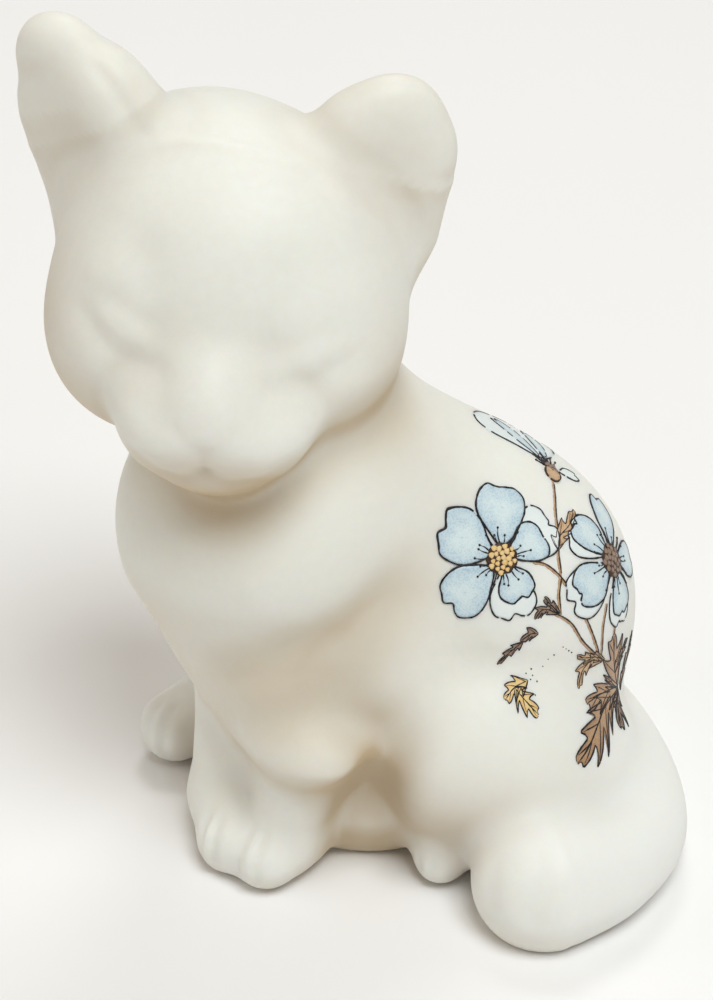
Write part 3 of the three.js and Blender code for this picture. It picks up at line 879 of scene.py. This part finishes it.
def build_top_flower():
    """A half-closed flower seen from the side, over the back."""
    t = Transfer("top_flower_petals", 39, 56, 21)
    outline, middle = petal(32, 10.5, 6.8, 1.0, (-1.8, 0.2))
    t.fill(outline, middle, 0.05, WHITE)
    t.line(outline, 0.10, 0.08, INK, True, 0.2, 1)
    for angle, length, half, seed in ((50, 9.0, 1.0, 2.0), (14, 8.2, 1.0, 3.0)):
        outline, middle = petal(angle, length, half, seed, (-1.7, 0.5))
        t.fill(outline, middle, 0.09, BLUE)
        t.line(outline, 0.075, 0.115, INK, True, 0.4, seed)
    outline, middle = petal(-62, 3.6, 0.95, 2.0, (-1.6, -0.2))
    t.fill(outline, middle, 0.06, WHITE)
    t.line(outline, 0.09, 0.09, INK, True, 0.2, 4)
    for i in range(7):
        a = math.radians(-20 + 17 * i)
        far = V(math.cos(a), math.sin(a)) * (2.4 + 0.4 * math.sin(3 * i)) + V(-1.9, 0.4)
        t.line(smooth([V(-1.7, 0.4), (far + V(-1.7, 0.4)) / 2, far], 4), 0.08, 0.13, INK)
        t.dot(far, 0.13, 0.14, SEPIA, 7)
    t.done("decal_top_flower")
    t = Transfer("top_flower_calyx", 39, 56, 21)
    cup = [(-2.0, 1.2), (-1.4, 0.4), (-1.9, -0.6), (-2.8, -0.7), (-3.6, -0.2), (-3.7, 0.5), (-3.1, 1.2)]
    cup = loop(cup)
    t.fill(cup, (-2.6, 0.3), 0.15, TAN)
    t.line(cup, 0.09, 0.17, SEPIA, True, 0.1, 2)
    for i in range(8):
        a, r = i * 2.4, 0.5 * math.sqrt(i / 8) + 0.1
        t.dot(V(-1.3 + r * math.cos(a), 0.4 + 1.3 * r * math.sin(a)), 0.24, 0.18, UMBER, 8)
    t.done("decal_top_calyx")


def stalk(t, bearings, half=0.17, dash=0.0, seed=0.0):
    """A tan stem with a dark line down one side."""
    path = smooth([t.at(*b) for b in bearings], 8)
    along = np.gradient(path, axis=0)
    along /= np.linalg.norm(along, axis=1, keepdims=True)
    side = np.stack([-along[:, 1], along[:, 0]], 1)
    t.line(path, half, 0.03, TAN, seed=seed)
    t.line(path + side * half * 0.8, 0.085, 0.045, SEPIA, dash=dash, seed=seed)


def build_stems():
    t = Transfer("main_stem", -8, 38)
    stalk(t, [(23, 56), (12, 53), (3, 49), (-3, 44), (-8, 39), (-11, 33), (-14, 28), (-15, 22)], dash=0.2)
    t.done("decal_main_stem")
    t = Transfer("branch_stem", -14, 34)
    stalk(t, [(-19, 40), (-15, 38), (-12, 34), (-10, 29), (-9, 26)], dash=0.1, seed=2)
    t.done("decal_branch_stem")
    t = Transfer("lower_stems", -4, 11)
    stalk(t, [(-17, 23), (-12, 18), (-8, 10), (-1, 1)], dash=0.5, seed=1)
    stalk(t, [(-7, 19), (-4, 10), (-1, 2)], seed=2)
    stalk(t, [(3, 18), (0, 11), (0, 1)], seed=3)
    stalk(t, [(8, 14), (6, 9), (5, 2)], seed=4)
    t.done("decal_lower_stems")


def leaf(t, rib, half, lobes, enamel_in, vein=INK, lean=0.16, seed=0.0):
    """A cut leaf along a midrib of bearings; lobes point forward on each side."""
    path = smooth([t.at(*b) for b in rib], 14)
    n = len(path) - 1
    along = np.gradient(path, axis=0)
    length = np.linalg.norm(np.diff(path, axis=0), axis=1).sum()
    along /= np.linalg.norm(along, axis=1, keepdims=True)
    side = np.stack([-along[:, 1], along[:, 0]], 1)
    s = np.linspace(0, 1, 60)
    at = np.stack([np.interp(s * n, np.arange(n + 1), path[:, k]) for k in (0, 1)], 1)
    forward = np.stack([np.interp(s * n, np.arange(n + 1), along[:, k]) for k in (0, 1)], 1)
    normal = np.stack([np.interp(s * n, np.arange(n + 1), side[:, k]) for k in (0, 1)], 1)
    for sign in (1, -1):
        phase = (s * lobes + 0.12 * sign + 0.03 * math.sin(seed)) % 1
        tooth = np.where(phase < 0.78, phase / 0.78, (1 - phase) / 0.22)
        body = np.sin(math.pi * np.clip(s**0.72 * 0.97 + 0.015, 0, 1)) ** 0.8
        width = half * body * (0.34 + 0.66 * tooth**1.2) * (1 + 0.1 * np.sin(9 * s + seed + sign))
        rim = at + normal * (sign * width)[:, None] + forward * (width * lean * tooth * 2)[:, None]
        rows = [at + (rim - at) * k / 5 for k in range(6)]
        heights = np.repeat(np.array([0.05] * 6 + [SKIRT])[:, None], 60, 1)
        t.grid(np.array(rows + [rows[-1]]), heights, [k / 5 for k in range(6)] + [1], enamel_in, False)
        t.line(rim, 0.055, 0.08, vein, seed=seed)
        for k in range(lobes):
            j = min(int((k + 0.78 - 0.12 * sign) / lobes * 60), 57)
            start = at[max(j - 60 // lobes // 2 - 3, 0)]
            bend = (start * 0.45 + rim[j] * 0.55) + forward[j] * -0.05 * half
            end = rim[j] * 0.86 + start * 0.14
            t.line(smooth([start, bend, end], 5), 0.04, 0.08, vein)
    t.line(at, 0.05, 0.085, vein, seed=seed)


def build_leaves():
    t = Transfer("upper_leaf", 2, 44)
    leaf(t, [(-7, 40), (-3, 43), (5, 44), (13, 46)], 1.2, 3, TAN, SEPIA, 0.3, 1)
    t.done("decal_upper_leaf")
    t = Transfer("small_leaf", -20, 25)
    leaf(t, [(-15, 22.5), (-17.5, 26), (-19, 29)], 0.6, 2, UMBER, INK, 0.3, 1)
    leaf(t, [(-15.5, 22.5), (-19, 25), (-21.5, 25), (-23.5, 23)], 0.8, 3, UMBER, INK, 0.3, 2)
    t.done("decal_small_leaf")
    t = Transfer("tan_leaf", -5, 1)
    leaf(t, [(2, -1), (-3, 2.5), (-7, 4), (-10, 6)], 0.85, 3, TAN, SEPIA, 0.3, 3)
    leaf(t, [(1, -1), (-4, 1.5), (-8, -0.5), (-10.5, -5)], 1.15, 3, TAN, SEPIA, 0.3, 4)
    t.done("decal_gold_leaf")
    t = Transfer("brown_leaf", 9, -6)
    leaf(t, [(9, -10), (12, -5), (15.5, -1)], 1.1, 3, BROWN, INK, 0.3, 5)
    leaf(t, [(11, -16), (9, -10), (7, -2), (5, 6)], 2.3, 3, BROWN, INK, 0.5, 4)
    t.done("decal_brown_leaf")
    t = Transfer("large_leaf", -3, -16)
    leaf(t, [(11, -16.5), (8, -17.8), (5, -18.6), (1, -19.6)], 0.9, 3, UMBER, INK, 0.35, 8)
    leaf(t, [(11, -16), (1, -14.8), (-9, -14.8), (-21, -15.5)], 1.7, 5, BROWN, INK, 0.6, 7)
    leaf(t, [(11, -15.5), (4, -12.8), (-2, -11), (-9, -9.8)], 1.8, 3, BROWN, INK, 0.5, 6)
    t.done("decal_large_leaf")
    t = Transfer("edge_leaf", 17, -13)
    leaf(t, [(13, -18), (17, -14), (20, -8), (21, -2)], 1.1, 3, BROWN, INK, 0.3, 9)
    t.done("decal_edge_leaf")
    t = Transfer("stray_brown_leaf", -30, 15)
    leaf(t, [(-23, 18), (-25.5, 18.5), (-29, 16.5)], 0.9, 2, UMBER, INK, 0.2, 10)
    leaf(t, [(-28, 16.5), (-32, 13.5), (-37, 9)], 0.65, 3, UMBER, INK, 0.3, 11)
    t.done("decal_stray_brown")
    t = Transfer("stray_gold_leaf", -32, -1)
    leaf(t, [(-28, 3), (-33, 2), (-37, 0)], 1.1, 3, GOLD, INK, 0.25, 12)
    leaf(t, [(-33, 2), (-31, -1), (-28, -5)], 1.3, 3, GOLD, INK, 0.25, 13)
    spots = [
        (-28, 5), (-26, 4), (-27, 3), (-25, 2), (-22, 6), (-18, 9),
        (-15, 11), (-12, 8), (-27, -1), (-26, 6), (-14, 10), (-13, 9),
        (-20, 8),
    ]
    for i, spot in enumerate(spots):
        t.dot(t.at(*spot), 0.09 + 0.02 * math.sin(3 * i), 0.05, SEPIA, 6)
    t.done("decal_stray_gold")


build_flowers()
build_top_flower()
build_stems()
build_leaves()


# ---- studio ----
# The camera in the kitten's own millimetres, and its focal length.
CAMERA_AT = V(141.4, -195.4, 187.7)
CAMERA_AIM = V(7.2, -10, 45)
LENS = 90.6


def studio():
    middle = (cad_lo + cad_hi) / 2
    tall = cad_hi.z - cad_lo.z
    n = 48
    grid = [(x, y) for y in np.linspace(-1.6, 1.6, n) for x in np.linspace(-1.6, 1.6, n)]
    # The floor sweeps up past 0.9 m to 0.6 m high at its edges.
    sweep = [0.6 * (max(abs(x), abs(y), 0.9) - 0.9) ** 2 / 0.49 for x, y in grid]
    corners = [V(middle.x + x, middle.y + y, cad_lo.z + rise) for (x, y), rise in zip(grid, sweep)]
    squares = [j * n + i for j in range(n - 1) for i in range(n - 1)]
    faces = [(k, k + 1, k + n + 1, k + n) for k in squares]
    floor = mesh_of("studio_floor", corners, faces, [floor_material()])

    def lamp(name, where, size, power, colour, aim=(0, 0, 0)):
        data = bpy.data.lights.new(name, "AREA")
        data.shape = "DISK"
        data.size, data.energy, data.color = size * tall, power, colour
        light = bpy.data.objects.new(name, data)
        bpy.context.scene.collection.objects.link(light)
        light.location = middle + Vector(where) * tall
        light.rotation_mode = "QUATERNION"
        light.rotation_quaternion = (middle + Vector(aim) * tall - light.location).to_track_quat("-Z", "Y")

    lamp("key", (3.6, -1.8, 10.0), 6.0, 6.6, (0.96, 1.0, 1.0))
    lamp("fill", (-6.0, -4.5, 4.0), 5.0, 0.75, (1.0, 0.92, 0.8))
    lamp("side", (6.0, -1.0, 1.4), 3.0, 0.25, (0.94, 0.98, 1.0))
    lamp("backdrop", (-2.6, 4.2, 7.0), 3.0, 1.6, (1.0, 1.0, 1.0), (-2.6, 4.2, -0.5))
    world = bpy.data.worlds.new("studio")
    world.use_nodes = True
    world.node_tree.nodes["Background"].inputs["Color"].default_value = (1.0, 0.89, 0.72, 1)
    world.node_tree.nodes["Background"].inputs["Strength"].default_value = 0.26
    bpy.context.scene.world = world
    bpy.context.scene.view_settings.view_transform = "Standard"

    data = bpy.data.cameras.new("camera")
    data.lens, data.sensor_width = LENS, 36
    data.clip_start, data.clip_end = 0.02, 20
    camera = bpy.data.objects.new("camera", data)
    bpy.context.scene.collection.objects.link(camera)
    camera.location = Vector(placed(CAMERA_AT))
    aim = Vector(placed(CAMERA_AIM))
    camera.rotation_mode = "QUATERNION"
    camera.rotation_quaternion = (aim - camera.location).to_track_quat("-Z", "Y")
    bpy.context.scene.camera = camera


studio()
